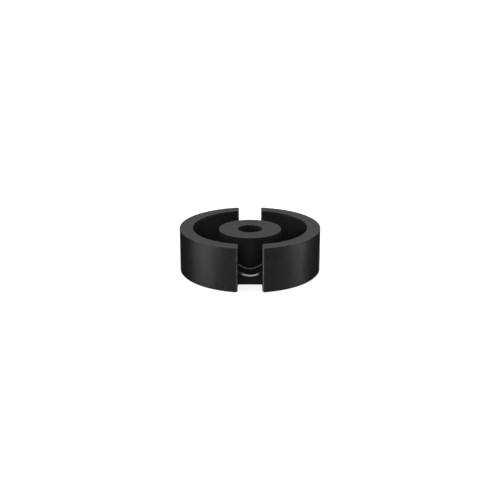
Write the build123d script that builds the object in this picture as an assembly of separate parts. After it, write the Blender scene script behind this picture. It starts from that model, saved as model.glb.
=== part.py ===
from build123d import *
from math import atan, cos, hypot, isclose, sin
import os

# Half of a ferrite pot core: one pressed and sintered piece. A ring wall, a base and a hollow centre
# post stand round the space for a winding, and two opposite slots let the wires out.
# The core stands on its base at z = 0, with the bore along +Z and the slots towards -Y and +Y.

# Overall sizes, in millimetres
core_diameter = 30.0
core_height = 9.5
wall_thickness = 2.8
base_thickness = 3.0

# Centre post: its ground face stops short of the wall's, which leaves an air gap in a closed pair
post_diameter = 13.3
bore_diameter = 5.2
air_gap = 0.45

# Wire slots: each cuts the wall from top to bottom, and notches the base to a flat end further in
slot_width = 5.0
notch_inset = 2.0
notch_corner_radius = 0.5

# Wire channels: shallow valleys in the floor that lead from the post to the notches
channel_depth = 0.75
channel_shoulder_radius = 0.6

# Rounds and chamfers left by the pressing tool: the ground faces keep sharp edges
wall_foot_radius = 0.4
post_foot_radius = 0.3
lip_radius = 0.45
slot_edge_radius = 0.4
base_chamfer = 0.25

# How far a cut runs past the material that it removes
overrun = 1.0

# Places that follow from the sizes
core_radius = core_diameter / 2
winding_radius = core_radius - wall_thickness
post_radius = post_diameter / 2
bore_radius = bore_diameter / 2
post_height = core_height - air_gap
notch_reach = winding_radius - notch_inset
slot_half = slot_width / 2
slot_turns = (0, 180)


def cup_section():
    """Half of the section through the core, from the bore's wall out to the rim."""
    outline = Polyline(
        (bore_radius, 0),
        (core_radius, 0),
        (core_radius, core_height),
        (winding_radius, core_height),
        (winding_radius, base_thickness),
        (post_radius, base_thickness),
        (post_radius, post_height),
        (bore_radius, post_height),
        close=True,
    )
    return Plane.XZ * make_face(outline)


def slot_cut():
    """What a slot takes away: an upright bar whose inner end is flat, with rounded corners."""
    length = core_radius - notch_reach + overrun
    plan = Pos(0, notch_reach + length / 2) * Rectangle(slot_width, length)
    inner_corners = plan.vertices().group_by(Axis.Y)[0]
    plan = Pos(0, 0, -overrun) * fillet(inner_corners, notch_corner_radius)
    return extrude(plan, core_height + 2 * overrun)


def channel_section():
    """A valley as wide as the slot: a hollow arc that rolls over two shoulders into the floor."""
    slope = 2 * atan(channel_depth / slot_half)
    hollow_radius = slot_half / sin(slope) - channel_shoulder_radius
    turn_x = hollow_radius * sin(slope)
    turn_z = base_thickness - channel_shoulder_radius * (1 - cos(slope))
    left_end, right_end = (-slot_half, base_thickness), (slot_half, base_thickness)
    left_turn, right_turn = (-turn_x, turn_z), (turn_x, turn_z)
    outline = [
        TangentArc(left_end, left_turn, tangent=(1, 0)),
        ThreePointArc(left_turn, (0, base_thickness - channel_depth), right_turn),
        TangentArc(right_end, right_turn, tangent=(-1, 0)),
        Line(right_end, left_end),
    ]
    return Plane.XZ * make_face(outline)


def channel_cut():
    """What a wire channel takes away: the valley, from the post's wall to past the notch's end."""
    valley = extrude(channel_section(), -(notch_reach + overrun))
    post = extrude(Circle(post_radius), core_height)
    return valley - post


def reach(edge):
    """How far an edge's middle stands from the bore's axis."""
    middle = edge.center()
    return hypot(middle.X, middle.Y)


def wall_foot_edges(core):
    """The two arcs where the wall's inside meets the floor."""
    arcs = core.edges().filter_by(GeomType.CIRCLE)
    arcs = arcs.filter_by(lambda arc: isclose(arc.radius, winding_radius))
    return arcs.filter_by(lambda arc: isclose(arc.arc_center.Z, base_thickness))


def post_foot_edges(core):
    """The ring of edges where the post meets the floor and dips into the channels."""
    low = core.edges().filter_by(lambda edge: edge.center().Z <= base_thickness)
    return low.filter_by(lambda edge: isclose(reach(edge), post_radius, rel_tol=1e-6))


def notch_lip_edges(core):
    """The valley's end at each notch. Its round runs on along the notch and up the wall's inside."""
    arcs = core.edges().filter_by(GeomType.CIRCLE)
    return arcs.filter_by(lambda arc: isclose(abs(arc.center().Y), notch_reach, rel_tol=1e-6))


def slot_outer_edges(core):
    """The four upright edges where the slots break out of the wall's outside."""
    upright = core.edges().filter_by(Axis.Z)
    return upright.filter_by(lambda edge: isclose(reach(edge), core_radius))


def core_half():
    """The whole core: turned, slotted, channelled, then rounded inside and chamfered underneath."""
    core = revolve(cup_section(), Axis.Z)
    for turn in slot_turns:
        core -= Rot(0, 0, turn) * slot_cut()
        core -= Rot(0, 0, turn) * channel_cut()
    core = fillet(wall_foot_edges(core), wall_foot_radius)
    core = fillet(post_foot_edges(core), post_foot_radius)
    core = fillet(notch_lip_edges(core), lip_radius)
    core = fillet(slot_outer_edges(core), slot_edge_radius)
    base_edges = core.edges().group_by(Axis.Z)[0]
    return chamfer(base_edges, base_chamfer)


os.makedirs("parts", exist_ok=True)
export_step(core_half(), "parts/core_half.step")
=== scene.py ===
import math

import bpy
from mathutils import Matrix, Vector


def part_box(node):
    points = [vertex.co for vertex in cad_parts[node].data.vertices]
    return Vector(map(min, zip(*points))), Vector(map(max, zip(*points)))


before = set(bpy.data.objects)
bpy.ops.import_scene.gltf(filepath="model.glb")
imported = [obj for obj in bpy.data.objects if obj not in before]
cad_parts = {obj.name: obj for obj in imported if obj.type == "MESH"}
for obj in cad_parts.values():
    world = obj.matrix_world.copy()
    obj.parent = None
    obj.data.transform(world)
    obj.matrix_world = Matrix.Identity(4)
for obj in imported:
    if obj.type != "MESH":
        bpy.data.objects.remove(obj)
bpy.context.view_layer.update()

bl_info = {
    "name": "Ferrite pot core",
    "version": (1, 0, 0),
    "blender": (4, 5, 0),
    "location": "View3D > Sidebar > Pot core",
    "description": "Finishes a ferrite pot core half and sets a plain studio stage round it",
    "category": "Object",
}

# Lengths are in metres, as everywhere in Blender
MM = 0.001

# The core: one piece, which stands on its base at z = 0 with its slots towards -Y and +Y
CORE_NODE = "core_half"
core_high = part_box(CORE_NODE)[1]
core_height = core_high.z
core_radius = core_high.x

# What is ground: faces with at least this upward part of the normal, above this share of the height
GROUND_FACING = 0.99
GROUND_HEIGHT_SHARE = 0.8

# Sintered grain: sizes of its layers, and what each adds to the tone and to the height
CLOUD_SIZE = 3.5 * MM
PATCH_SIZE = 0.6 * MM
GRANULE_SIZE = 0.16 * MM
CRYSTAL_SIZE = 0.06 * MM
CLOUD_TONE_SHARE = 0.12
PATCH_TONE_SHARE = 0.34
CRYSTAL_TONE_SHARE = 0.54
CRYSTAL_HEIGHT_SHARE = 0.55
GRANULE_HEIGHT_SHARE = 0.45
GRANULE_SMOOTHNESS = 0.6

# Pits: the share of the cells that have none, and a pit's bottom and rim as shares of its cell
PIT_SPACING = 0.5 * MM
PITLESS_SHARE = 0.8
PIT_BOTTOM_SHARE = 0.04
PIT_RIM_SHARE = 0.12

# Streaks that the die draws upwards on the pressed skin
STREAK_SIZE = 0.22 * MM
STREAK_SQUEEZE = (1.0, 1.0, 0.02)
STREAK_TONE = 0.1
STREAK_HEIGHT_SHARE = 0.35

# Pressed skin: how far its tone and roughness vary, and its bump
PRESSED_TONE_SPREAD = 0.9
PRESSED_ROUGHNESS_SPREAD = 0.06
PRESSED_BUMP = 1.0
PRESSED_BUMP_DEPTH = 0.02 * MM

# Where the punches' duller finish ends: past the wall's inside, and above the underside
INSIDE_FADE_START = 0.02 * MM
INSIDE_FADE_END = 0.3 * MM
UNDERSIDE_FADE = 0.1 * MM

# Ground faces: the wheel's middle, its coarse and fine marks, the pits, and how far the rest varies
WHEEL_MIDDLE = (-0.11, 0.06, 0.0)
COARSE_MARK_SIZE = 0.45 * MM
FINE_MARK_SIZE = 0.09 * MM
PIT_DARKNESS = 0.8
GROUND_TONE_SPREAD = 0.6
GROUND_ROUGHNESS_SPREAD = 0.1
GROUND_BUMP = 0.4
GROUND_BUMP_DEPTH = 0.004 * MM

# Rounded edges, with wear and a painted glint: the least and most upward part of the normal on them, and
# how softly the mask sets in
EDGE_LEAN = (0.1, 0.92)
EDGE_SOFT = 0.2
# A notch's lip: its wear and painted glint fade towards the slot's sides, and begin just inside the notch's
# end
LIP_FADE_START = 1.1 * MM
LIP_FADE_END = 0.55 * MM
LIP_SIDE_WEAR_AND_GLINT = 0.2
LIP_MARGIN = 0.5 * MM
LIP_DEPTH = 0.6 * MM
# Upright corners of the slots, with wear and a painted glint: the least and most outward part of the
# normal, and where they begin
CORNER_TURN = (0.25, 0.97)
CORNER_SOFT = 0.12
CORNER_LEAN = (0.1, 0.3)
CORNER_START = 0.8 * MM
CORNER_WEAR_AND_GLINT = 0.2
# The post's foot, which gets a painted glint: how far it reaches out from the post and up the core
FOOT_WIDTH = 0.4 * MM
FOOT_HEIGHT_SHARE = 0.4
FOOT_GLINT = 0.28
# Patches where the edges' wear and painted glint are weaker
MISSED_SIZE = 0.8 * MM
MISSED_WEAR_AND_GLINT = 0.7

# Reflection at a glancing angle, kept low so that the core's outline stays dark
GLANCING_TINT = (0.12, 0.12, 0.12, 1.0)

# Edge break: how near points are to be joined, how flat facets to be merged, how sharp edges to be bevelled
WELD_REACH = 0.001 * MM
FLAT_ANGLE = math.radians(0.5)
SHARP_ANGLE = math.radians(35)
BEVEL_SEGMENTS = 2

# Floor: its half width, its gap below the core, its gloss, and how it is lifted to white further out
FLOOR_HALF = 60 * core_radius
FLOOR_GAP = 0.02 * MM
FLOOR_ROUGHNESS = 0.2
LIFT_START = core_radius
LIFT_END = 8 * core_radius
LIFT_NEAR = 0.8
LIFT_FAR = 1.0
WHITE = (1.0, 1.0, 1.0, 1.0)

# Lamps beside and before the core: name, place, width and height, and share of the side level
SIDE_LAMPS = (
    ("left_strip", (-0.25, -0.035, 0.01), (0.28, 0.018), 2.35),
    ("right_strip", (0.25, 0.02, 0.01), (0.2, 0.018), 2.6),
    ("left_box", (-0.245, -0.03, 0.09), (0.16, 0.09), 1.2),
    ("right_box", (0.25, 0.0, 0.09), (0.14, 0.09), 1.1),
    ("front_box", (-0.05, -0.295, 0.17), (0.26, 0.1), 0.58),
)
TOP_LAMP_PLACE = (0.0, -0.12, 0.33)
TOP_LAMP_SIZE = (0.4, 0.06)

# Camera: its sensor in millimetres, as Blender counts it, and the nearest that it sees in metres
SENSOR_WIDTH = 36
CLIP_START = 0.01

# Sockets of Blender's Mix node when it mixes vectors: its input names repeat, so they go by number
MIX_SHARE = 0
MIX_LOW = 4
MIX_HIGH = 5
MIX_RESULT = 1


class FerriteSettings(bpy.types.PropertyGroup):
    """Finish of the ferrite: pressed and sintered all over, then ground on the mating faces."""

    pressed_colour: bpy.props.FloatVectorProperty(
        name="Pressed colour",
        description="Colour of the as-sintered skin",
        subtype="COLOR",
        min=0.0,
        max=1.0,
        default=(0.0122, 0.0122, 0.0125),
    )
    pressed_lustre: bpy.props.FloatProperty(
        name="Pressed lustre",
        description="How far the as-sintered skin shines like a metal, as ferrite does",
        subtype="FACTOR",
        min=0.0,
        max=1.0,
        default=0.9,
    )
    pressed_roughness: bpy.props.FloatProperty(
        name="Pressed roughness",
        description="Roughness of the as-sintered skin",
        subtype="FACTOR",
        min=0.0,
        max=1.0,
        default=0.4,
    )
    inside_colour: bpy.props.FloatVectorProperty(
        name="Inside colour",
        description="Colour of the inside, which the punches leave duller than the die leaves the outside",
        subtype="COLOR",
        min=0.0,
        max=1.0,
        default=(0.0115, 0.0115, 0.0117),
    )
    inside_lustre: bpy.props.FloatProperty(
        name="Inside lustre",
        description="How far the inside shines like a metal",
        subtype="FACTOR",
        min=0.0,
        max=1.0,
        default=0.35,
    )
    ground_colour: bpy.props.FloatVectorProperty(
        name="Ground colour",
        description="Colour of the ground mating faces",
        subtype="COLOR",
        min=0.0,
        max=1.0,
        default=(0.068, 0.068, 0.0694),
    )
    ground_lustre: bpy.props.FloatProperty(
        name="Ground lustre",
        description="How far the ground faces shine like a metal",
        subtype="FACTOR",
        min=0.0,
        max=1.0,
        default=0.25,
    )
    ground_roughness: bpy.props.FloatProperty(
        name="Ground roughness",
        description="Roughness of the ground mating faces",
        subtype="FACTOR",
        min=0.0,
        max=1.0,
        default=0.5,
    )
    # Much brighter than the skin: partly wear on the rounded edges, partly a painted glint on them
    edge_wear_and_glint_colour: bpy.props.FloatVectorProperty(
        name="Edge colour",
        description="Colour of the rounded edges, which handling rubs brighter",
        subtype="COLOR",
        min=0.0,
        max=1.0,
        default=(0.15, 0.15, 0.1525),
    )
    edge_roughness: bpy.props.FloatProperty(
        name="Edge roughness",
        description="Roughness of the rounded edges, which handling rubs smoother",
        subtype="FACTOR",
        min=0.0,
        max=1.0,
        default=0.3,
    )
    edge_break: bpy.props.FloatProperty(
        name="Edge break",
        description="Width of the tiny bevel that tumbling leaves on the sharp edges",
        unit="LENGTH",
        min=0.0,
        default=0.05 * MM,
    )
    granule_size: bpy.props.FloatProperty(
        name="Granule size",
        description="Size of the pressed granules that show in the skin",
        unit="LENGTH",
        min=0.01 * MM,
        default=GRANULE_SIZE,
    )
    crystal_size: bpy.props.FloatProperty(
        name="Crystal size",
        description="Size of the sintered crystals that roughen the skin",
        unit="LENGTH",
        min=0.001 * MM,
        default=CRYSTAL_SIZE,
    )
    # These sizes place the edges' wear and painted glint on the slots' lips and corners and at the post's
    # foot
    slot_width: bpy.props.FloatProperty(
        name="Slot width",
        description="Width of the wire slots, whose edges are rubbed",
        unit="LENGTH",
        min=0.0,
        default=5.0 * MM,
    )
    notch_reach: bpy.props.FloatProperty(
        name="Notch reach",
        description="From the bore's axis to the flat end of the notch in the base",
        unit="LENGTH",
        min=0.0,
        default=10.2 * MM,
    )
    post_diameter: bpy.props.FloatProperty(
        name="Post diameter",
        description="Diameter of the centre post, whose foot the punch burnishes",
        unit="LENGTH",
        min=0.0,
        default=13.3 * MM,
    )
    winding_radius: bpy.props.FloatProperty(
        name="Winding radius",
        description="From the bore's axis to the inside of the wall",
        unit="LENGTH",
        min=0.0,
        default=12.2 * MM,
    )


class StageSettings(bpy.types.PropertyGroup):
    """Camera, floor and lamps. A lamp of level 1 lights a white card that faces it to white."""

    view_distance: bpy.props.FloatProperty(
        name="View distance",
        description="From the camera to the point that it looks at",
        unit="LENGTH",
        default=14.379 * core_radius,
    )
    view_elevation: bpy.props.FloatProperty(
        name="View elevation",
        description="How far above the horizon the camera stands",
        subtype="ANGLE",
        default=math.radians(18.512),
    )
    view_height: bpy.props.FloatProperty(
        name="View height",
        description="Height of the point that the camera looks at",
        unit="LENGTH",
        default=0.2819 * core_radius,
    )
    lens: bpy.props.FloatProperty(
        name="Lens",
        description="Focal length on a 36 mm sensor",
        unit="CAMERA",
        default=72.19,
    )
    floor_colour: bpy.props.FloatVectorProperty(
        name="Floor colour",
        description="Colour of the plain floor",
        subtype="COLOR",
        min=0.0,
        max=1.0,
        default=(0.25, 0.25, 0.25),
    )
    side_level: bpy.props.FloatProperty(
        name="Side level",
        description="Light from the strips and boxes beside and before the core",
        min=0.0,
        default=0.8,
    )
    top_level: bpy.props.FloatProperty(
        name="Top level",
        description="Light from the lamp overhead",
        min=0.0,
        default=0.55,
    )
    room_level: bpy.props.FloatProperty(
        name="Room level",
        description="Even light from all round",
        min=0.0,
        default=0.1,
    )


def add_node(tree, kind, inputs=None, **settings):
    """Add a shader node. Inputs are given by name or number, as values or as sockets to link."""
    node = tree.nodes.new(kind)
    for name, value in settings.items():
        setattr(node, name, value)
    for key, value in (inputs or {}).items():
        if isinstance(value, bpy.types.NodeSocket):
            tree.links.new(value, node.inputs[key])
        else:
            node.inputs[key].default_value = value
    return node


def calc(tree, operation, *values):
    """One step of arithmetic on sockets and numbers."""
    return add_node(tree, "ShaderNodeMath", dict(enumerate(values)), operation=operation).outputs[0]


def ramp(tree, value, low, high, start=0.0, end=1.0):
    """A smooth step: start below low, end above high."""
    inputs = {"Value": value, "From Min": low, "From Max": high, "To Min": start, "To Max": end}
    node = add_node(tree, "ShaderNodeMapRange", inputs, interpolation_type="SMOOTHSTEP")
    return node.outputs["Result"]


def ramp_line(tree, value, start, end):
    """A straight line from start to end as the value goes from 0 to 1."""
    return calc(tree, "MULTIPLY_ADD", value, end - start, start)


def vary(tree, value, middle, spread):
    """A straight line through the middle, spread to each side, as the value goes from 0 to 1."""
    return ramp_line(tree, value, middle - spread, middle + spread)


def halfway(tree, first, second):
    """The middle between two values."""
    return calc(tree, "MULTIPLY_ADD", first, 0.5, calc(tree, "MULTIPLY", second, 0.5))


def product(tree, first, *others):
    """All the values, multiplied."""
    for other in others:
        first = calc(tree, "MULTIPLY", first, other)
    return first


def window(tree, value, low, high, soft):
    """1 between low and high, and 0 outside, with soft sides."""
    rise = ramp(tree, value, low, low + soft)
    fall = ramp(tree, value, high - soft, high, 1.0, 0.0)
    return calc(tree, "MULTIPLY", rise, fall)


def object_point(tree):
    """The point of the surface, in the core's own coordinates."""
    return add_node(tree, "ShaderNodeTexCoord").outputs["Object"]


def stretched(tree, point, factors):
    """The point, squeezed along some axes so that what is drawn on it stretches."""
    inputs = {0: point, 1: factors}
    return add_node(tree, "ShaderNodeVectorMath", inputs, operation="MULTIPLY").outputs[0]


def texture_scale(tree, size):
    """The scale that gives a texture features of one size, which is a number or a socket."""
    if isinstance(size, bpy.types.NodeSocket):
        return calc(tree, "DIVIDE", 1.0, size)
    return 1.0 / size


def noise(tree, point, size, detail=2.0, roughness=0.5):
    """Even noise from 0 to 1, with features of one size."""
    scale = texture_scale(tree, size)
    inputs = {"Vector": point, "Scale": scale, "Detail": detail, "Roughness": roughness}
    return add_node(tree, "ShaderNodeTexNoise", inputs).outputs["Fac"]


def new_group(name, inputs, outputs):
    """An empty shader node group, with float sockets by name, and its two end nodes."""
    tree = bpy.data.node_groups.new(name, "ShaderNodeTree")
    for socket_name, default in inputs.items():
        socket = tree.interface.new_socket(socket_name, in_out="INPUT", socket_type="NodeSocketFloat")
        socket.default_value = default
    for socket_name in outputs:
        tree.interface.new_socket(socket_name, in_out="OUTPUT", socket_type="NodeSocketFloat")
    return tree, add_node(tree, "NodeGroupInput"), add_node(tree, "NodeGroupOutput")


def sintered_grain_group():
    """Grain of a pressed and sintered powder: clouded tone, granules with crystals on them, and pits."""
    tree, given, result = new_group(
        "sintered_grain",
        {"Granule size": GRANULE_SIZE, "Crystal size": CRYSTAL_SIZE},
        ("Tone", "Height", "Pits"),
    )
    point = object_point(tree)
    clouds = noise(tree, point, CLOUD_SIZE, detail=3.0)
    patches = noise(tree, point, PATCH_SIZE)
    crystals = noise(tree, point, given.outputs["Crystal size"])
    granule_scale = texture_scale(tree, given.outputs["Granule size"])
    granules = add_node(
        tree,
        "ShaderNodeTexVoronoi",
        {"Vector": point, "Scale": granule_scale, "Smoothness": GRANULE_SMOOTHNESS},
        feature="SMOOTH_F1",
    )
    pit_scale = texture_scale(tree, PIT_SPACING)
    pit_cells = add_node(tree, "ShaderNodeTexVoronoi", {"Vector": point, "Scale": pit_scale})
    pit_draw = add_node(tree, "ShaderNodeSeparateColor", {"Color": pit_cells.outputs["Color"]})
    pit_here = calc(tree, "GREATER_THAN", pit_draw.outputs[0], PITLESS_SHARE)
    pit_hole = ramp(tree, pit_cells.outputs["Distance"], PIT_BOTTOM_SHARE, PIT_RIM_SHARE, 1.0, 0.0)
    pits = calc(tree, "MULTIPLY", pit_here, pit_hole)
    tone = calc(tree, "MULTIPLY", clouds, CLOUD_TONE_SHARE)
    tone = calc(tree, "MULTIPLY_ADD", patches, PATCH_TONE_SHARE, tone)
    tone = calc(tree, "MULTIPLY_ADD", crystals, CRYSTAL_TONE_SHARE, tone)
    dome = calc(tree, "SUBTRACT", 1.0, granules.outputs["Distance"])
    height = calc(tree, "MULTIPLY", dome, GRANULE_HEIGHT_SHARE)
    height = calc(tree, "MULTIPLY_ADD", crystals, CRYSTAL_HEIGHT_SHARE, height)
    height = calc(tree, "SUBTRACT", height, pits)
    tree.links.new(tone, result.inputs["Tone"])
    tree.links.new(height, result.inputs["Height"])
    tree.links.new(pits, result.inputs["Pits"])
    return tree


def core_place(tree):
    """Where the surface lies: across and along the slots, up, and out from the bore's axis."""
    point = object_point(tree)
    parts = add_node(tree, "ShaderNodeSeparateXYZ", {0: point}).outputs
    level = stretched(tree, point, (1.0, 1.0, 0.0))
    reach = add_node(tree, "ShaderNodeVectorMath", {0: level}, operation="LENGTH")
    outward = add_node(tree, "ShaderNodeVectorMath", {0: level}, operation="NORMALIZE")
    return {
        "across": calc(tree, "ABSOLUTE", parts["X"]),
        "along": calc(tree, "ABSOLUTE", parts["Y"]),
        "up": parts["Z"],
        "reach": reach.outputs["Value"],
        "outward": outward.outputs[0],
    }


def lip_wear_and_glint(tree, place, settings, sloping):
    """Mask of the notches' lips, worn and with a painted glint, brightest in the middle of the slot."""
    slot_half = settings.slot_width / 2
    fade_start = slot_half - LIP_FADE_START
    fade_end = slot_half - LIP_FADE_END
    middle = ramp(tree, place["across"], fade_start, fade_end, 1.0, LIP_SIDE_WEAR_AND_GLINT)
    in_slot = calc(tree, "LESS_THAN", place["across"], slot_half + LIP_MARGIN)
    at_end = calc(tree, "GREATER_THAN", place["along"], settings.notch_reach - LIP_DEPTH)
    return product(tree, sloping, middle, in_slot, at_end)


def corner_wear_and_glint(tree, place, settings, normal, facing):
    """Mask of the wear and painted glint on the slots' upright corners, where the surface turns from
    outwards to across.
    """
    turn = add_node(
        tree,
        "ShaderNodeVectorMath",
        {0: place["outward"], 1: normal},
        operation="DOT_PRODUCT",
    ).outputs["Value"]
    turning = window(tree, calc(tree, "ABSOLUTE", turn), *CORNER_TURN, CORNER_SOFT)
    upright = ramp(tree, calc(tree, "ABSOLUTE", facing), *CORNER_LEAN, 1.0, 0.0)
    past_end = calc(tree, "GREATER_THAN", place["along"], settings.notch_reach + CORNER_START)
    return product(tree, turning, upright, past_end, CORNER_WEAR_AND_GLINT)


def painted_foot_glint(tree, place, settings, sloping):
    """Mask of the painted glint on the round at the post's foot."""
    at_foot = calc(tree, "LESS_THAN", place["reach"], settings.post_diameter / 2 + FOOT_WIDTH)
    low_down = calc(tree, "LESS_THAN", place["up"], FOOT_HEIGHT_SHARE * core_height)
    return product(tree, sloping, at_foot, low_down, FOOT_GLINT)


def edge_wear_and_glint(tree, place, settings):
    """Mask of the wear and painted glint on the rounded edges: the notches' lips most, the upright corners
    and the post's foot less.
    """
    normal = add_node(tree, "ShaderNodeNewGeometry").outputs["Normal"]
    facing = add_node(tree, "ShaderNodeSeparateXYZ", {0: normal}).outputs["Z"]
    sloping = window(tree, facing, *EDGE_LEAN, EDGE_SOFT)
    lips = lip_wear_and_glint(tree, place, settings, sloping)
    corners = corner_wear_and_glint(tree, place, settings, normal, facing)
    foot = painted_foot_glint(tree, place, settings, sloping)
    edge = calc(tree, "MAXIMUM", lips, calc(tree, "MAXIMUM", corners, foot))
    missed = noise(tree, object_point(tree), MISSED_SIZE, detail=3.0)
    return calc(tree, "MULTIPLY", edge, ramp_line(tree, missed, 1.0, MISSED_WEAR_AND_GLINT))


def punched_faces(tree, place, settings):
    """Mask of the inside, which the punches form and leave duller than the die leaves the outside."""
    fade_start = settings.winding_radius + INSIDE_FADE_START
    fade_end = settings.winding_radius + INSIDE_FADE_END
    inside = ramp(tree, place["reach"], fade_start, fade_end, 1.0, 0.0)
    off_base = ramp(tree, place["up"], 0.0, UNDERSIDE_FADE)
    return calc(tree, "MULTIPLY", inside, off_base)


def start_material(name):
    """An empty material with a Principled shader wired to its output."""
    material = bpy.data.materials.new(name)
    material.use_nodes = True
    tree = material.node_tree
    tree.nodes.clear()
    shader = add_node(tree, "ShaderNodeBsdfPrincipled")
    add_node(tree, "ShaderNodeOutputMaterial", {"Surface": shader.outputs[0]})
    return material, tree, shader


def start_ferrite(name, settings, grain_group):
    """A material for ferrite, with its grain: no clear gloss over its colour, and dark when seen aslant."""
    material, tree, shader = start_material(name)
    shader.inputs["Specular IOR Level"].default_value = 0.0
    shader.inputs["Specular Tint"].default_value = GLANCING_TINT
    sizes = {"Granule size": settings.granule_size, "Crystal size": settings.crystal_size}
    grain = add_node(tree, "ShaderNodeGroup", sizes, node_tree=grain_group)
    return material, tree, shader, grain.outputs


def toned(tree, colour, tone, spread):
    """The colour, darkened and lightened by a tone from 0 to 1."""
    inputs = {0: tuple(colour), "Scale": vary(tree, tone, 1.0, spread)}
    return add_node(tree, "ShaderNodeVectorMath", inputs, operation="SCALE").outputs[0]


def blend(tree, share, low, high):
    """From one colour to another, as the share goes from 0 to 1. Both are sockets or colours."""
    inputs = {MIX_SHARE: share, MIX_LOW: low, MIX_HIGH: high}
    return add_node(tree, "ShaderNodeMix", inputs, data_type="VECTOR").outputs[MIX_RESULT]


def bumped(tree, height, strength, depth):
    """The normal of a surface with this height on it."""
    inputs = {"Height": height, "Strength": strength, "Distance": depth}
    return add_node(tree, "ShaderNodeBump", inputs).outputs[0]


def pressed_ferrite(settings, grain_group):
    """As-sintered skin: dark, dull semi-metallic lustre, granules, and streaks drawn by the die, with
    rounded edges lightened by wear and a painted glint.
    """
    material, tree, shader, grain = start_ferrite("pressed_ferrite", settings, grain_group)
    place = core_place(tree)
    edge = edge_wear_and_glint(tree, place, settings)
    punched = punched_faces(tree, place, settings)
    streak_point = stretched(tree, object_point(tree), STREAK_SQUEEZE)
    streaks = noise(tree, streak_point, STREAK_SIZE, detail=3.0, roughness=0.6)

    tone = calc(tree, "ADD", grain["Tone"], vary(tree, streaks, 0.0, STREAK_TONE))
    outside = toned(tree, settings.pressed_colour, tone, PRESSED_TONE_SPREAD)
    inside = toned(tree, settings.inside_colour, tone, PRESSED_TONE_SPREAD)
    skin = blend(tree, punched, outside, inside)
    # The rounded edges take the bright edge colour: partly wear, partly a painted glint
    skin = blend(tree, edge, skin, tuple(settings.edge_wear_and_glint_colour))
    tree.links.new(skin, shader.inputs["Base Color"])

    lustre = ramp_line(tree, punched, settings.pressed_lustre, settings.inside_lustre)
    tree.links.new(calc(tree, "MAXIMUM", lustre, edge), shader.inputs["Metallic"])

    dull = vary(tree, grain["Tone"], settings.pressed_roughness, PRESSED_ROUGHNESS_SPREAD)
    smoother = calc(tree, "MULTIPLY", edge, settings.pressed_roughness - settings.edge_roughness)
    tree.links.new(calc(tree, "SUBTRACT", dull, smoother), shader.inputs["Roughness"])

    height = calc(tree, "MULTIPLY_ADD", streaks, STREAK_HEIGHT_SHARE, grain["Height"])
    normal = bumped(tree, height, PRESSED_BUMP, PRESSED_BUMP_DEPTH)
    tree.links.new(normal, shader.inputs["Normal"])
    return material


def ground_ferrite(settings, grain_group):
    """Ground mating faces: paler and flat, with the fine arcs that the grinding wheel leaves."""
    material, tree, shader, grain = start_ferrite("ground_ferrite", settings, grain_group)
    shader.inputs["Metallic"].default_value = settings.ground_lustre
    swept = add_node(
        tree,
        "ShaderNodeVectorMath",
        {0: stretched(tree, object_point(tree), (1.0, 1.0, 0.0)), 1: WHEEL_MIDDLE},
        operation="DISTANCE",
    )
    track = add_node(tree, "ShaderNodeCombineXYZ", {"X": swept.outputs["Value"]}).outputs[0]
    coarse_marks = noise(tree, track, COARSE_MARK_SIZE, roughness=0.7)
    fine_marks = noise(tree, track, FINE_MARK_SIZE, roughness=0.7)
    marks = halfway(tree, coarse_marks, fine_marks)

    tone = halfway(tree, marks, grain["Tone"])
    tone = calc(tree, "SUBTRACT", tone, calc(tree, "MULTIPLY", grain["Pits"], PIT_DARKNESS))
    colour = toned(tree, settings.ground_colour, tone, GROUND_TONE_SPREAD)
    tree.links.new(colour, shader.inputs["Base Color"])

    dull = vary(tree, marks, settings.ground_roughness, GROUND_ROUGHNESS_SPREAD)
    tree.links.new(dull, shader.inputs["Roughness"])

    height = calc(tree, "SUBTRACT", marks, grain["Pits"])
    normal = bumped(tree, height, GROUND_BUMP, GROUND_BUMP_DEPTH)
    tree.links.new(normal, shader.inputs["Normal"])
    return material


def break_edges(core, width):
    """Join the facets into one skin, and put a tiny bevel on its sharp edges."""
    core.modifiers.clear()
    weld = core.modifiers.new("join_facets", "WELD")
    weld.merge_threshold = WELD_REACH
    flats = core.modifiers.new("merge_flats", "DECIMATE")
    flats.decimate_type = "DISSOLVE"
    flats.angle_limit = FLAT_ANGLE
    bevel = core.modifiers.new("edge_break", "BEVEL")
    bevel.width = width
    bevel.segments = BEVEL_SEGMENTS
    bevel.limit_method = "ANGLE"
    bevel.angle_limit = SHARP_ANGLE
    bevel.use_clamp_overlap = False
    normals = core.modifiers.new("even_shading", "WEIGHTED_NORMAL")
    normals.keep_sharp = False


def light_path_white(tree):
    """1 for camera, glossy and transmission rays, which see the white background, and 0 for the rest."""
    path = add_node(tree, "ShaderNodeLightPath").outputs
    direct = calc(tree, "MAXIMUM", path["Is Camera Ray"], path["Is Glossy Ray"])
    return calc(tree, "MAXIMUM", direct, path["Is Transmission Ray"])


def floor_material(colour):
    """A plain pale floor with a slight gloss, lifted to white away from the core and its shadow."""
    material, tree, shader = start_material("pale_floor")
    shader.inputs["Base Color"].default_value = (*colour, 1.0)
    shader.inputs["Roughness"].default_value = FLOOR_ROUGHNESS
    shader.inputs["Emission Color"].default_value = WHITE
    place = object_point(tree)
    away = add_node(tree, "ShaderNodeVectorMath", {0: place}, operation="LENGTH").outputs["Value"]
    lift = ramp(tree, away, LIFT_START, LIFT_END, LIFT_NEAR, LIFT_FAR)
    glow = calc(tree, "MULTIPLY", light_path_white(tree), lift)
    tree.links.new(glow, shader.inputs["Emission Strength"])
    return material


def lay_floor(stage):
    """A wide square floor, just below the core."""
    mesh = bpy.data.meshes.new("floor")
    half = FLOOR_HALF
    corners = [Vector((x, y, 0)) for x, y in ((-half, -half), (half, -half), (half, half), (-half, half))]
    mesh.from_pydata(corners, [], [(0, 1, 2, 3)])
    mesh.materials.append(floor_material(stage.floor_colour))
    floor = bpy.data.objects.new("floor", mesh)
    floor.location.z = -FLOOR_GAP
    bpy.context.scene.collection.objects.link(floor)


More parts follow.
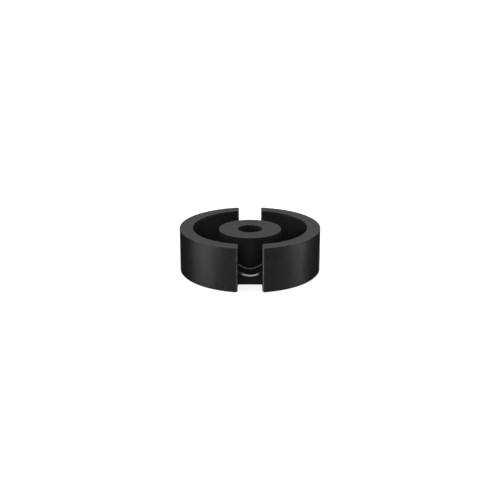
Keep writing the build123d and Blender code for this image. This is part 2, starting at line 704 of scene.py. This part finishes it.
def set_world(stage):
    """A room that looks white and lights the core evenly at the room level."""
    world = bpy.data.worlds.new("studio")
    bpy.context.scene.world = world
    world.use_nodes = True
    tree = world.node_tree
    tree.nodes.clear()
    strength = ramp_line(tree, light_path_white(tree), stage.room_level, 1.0)
    background = add_node(tree, "ShaderNodeBackground", {"Color": WHITE, "Strength": strength})
    add_node(tree, "ShaderNodeOutputWorld", {"Surface": background.outputs[0]})


def hang_lamp(name, place, size, level):
    """A rectangular softbox that faces the core. A level of 1 lights a white card there to white."""
    place = Vector(place)
    aim = Vector((0, 0, core_height / 2))
    lamp = bpy.data.lights.new(name, "AREA")
    lamp.shape = "RECTANGLE"
    lamp.size, lamp.size_y = size
    lamp.energy = level * math.pi ** 2 * (place - aim).length_squared
    holder = bpy.data.objects.new(name, lamp)
    holder.location = place
    holder.rotation_euler = (aim - place).to_track_quat("-Z", "Y").to_euler()
    holder.visible_camera = False
    bpy.context.scene.collection.objects.link(holder)


def set_camera(stage):
    """A camera in front of the slot that faces -Y, a little above the core."""
    target = Vector((0, 0, stage.view_height))
    back = Vector((0, -math.cos(stage.view_elevation), math.sin(stage.view_elevation)))
    data = bpy.data.cameras.new("camera")
    data.lens = stage.lens
    data.sensor_width = SENSOR_WIDTH
    data.clip_start = CLIP_START
    camera = bpy.data.objects.new("camera", data)
    camera.location = target + back * stage.view_distance
    camera.rotation_euler = (-back).to_track_quat("-Z", "Y").to_euler()
    bpy.context.scene.collection.objects.link(camera)
    bpy.context.scene.camera = camera


class POT_CORE_OT_finish_core(bpy.types.Operator):
    """Give the core its ferrite finishes and break its sharp edges"""

    bl_idname = "pot_core.finish_core"
    bl_label = "Finish core"

    def execute(self, context):
        settings = context.scene.pot_core_ferrite
        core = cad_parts[CORE_NODE]
        grain_group = sintered_grain_group()
        core.data.materials.clear()
        core.data.materials.append(pressed_ferrite(settings, grain_group))
        core.data.materials.append(ground_ferrite(settings, grain_group))
        ground_from = GROUND_HEIGHT_SHARE * core_height
        for face in core.data.polygons:
            face.material_index = int(face.normal.z > GROUND_FACING and face.center.z > ground_from)
        break_edges(core, settings.edge_break)
        return {"FINISHED"}


class POT_CORE_OT_set_stage(bpy.types.Operator):
    """Set the floor, the lamps and the camera"""

    bl_idname = "pot_core.set_stage"
    bl_label = "Set stage"

    def execute(self, context):
        stage = context.scene.pot_core_stage
        lay_floor(stage)
        set_world(stage)
        for name, place, size, share in SIDE_LAMPS:
            hang_lamp(name, place, size, share * stage.side_level)
        hang_lamp("top_lamp", TOP_LAMP_PLACE, TOP_LAMP_SIZE, stage.top_level)
        set_camera(stage)
        context.scene.view_settings.view_transform = "Standard"
        return {"FINISHED"}


class POT_CORE_PT_sidebar(bpy.types.Panel):
    """The core's finish and its stage"""

    bl_label = "Pot core"
    bl_space_type = "VIEW_3D"
    bl_region_type = "UI"
    bl_category = "Pot core"

    def draw(self, context):
        for settings, operator in (
            (context.scene.pot_core_ferrite, POT_CORE_OT_finish_core),
            (context.scene.pot_core_stage, POT_CORE_OT_set_stage),
        ):
            box = self.layout.box()
            for name in type(settings).__annotations__:
                box.prop(settings, name)
            box.operator(operator.bl_idname)


CLASSES = (
    FerriteSettings,
    StageSettings,
    POT_CORE_OT_finish_core,
    POT_CORE_OT_set_stage,
    POT_CORE_PT_sidebar,
)


def register():
    """Make the settings, the operators and the panel known to Blender."""
    for cls in CLASSES:
        bpy.utils.register_class(cls)
    bpy.types.Scene.pot_core_ferrite = bpy.props.PointerProperty(type=FerriteSettings)
    bpy.types.Scene.pot_core_stage = bpy.props.PointerProperty(type=StageSettings)


def unregister():
    """Take them out again, in reverse."""
    del bpy.types.Scene.pot_core_stage
    del bpy.types.Scene.pot_core_ferrite
    for cls in reversed(CLASSES):
        bpy.utils.unregister_class(cls)


def main():
    """Finish the core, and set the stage."""
    register()
    bpy.ops.pot_core.finish_core()
    bpy.ops.pot_core.set_stage()


if __name__ == "__main__":
    main()
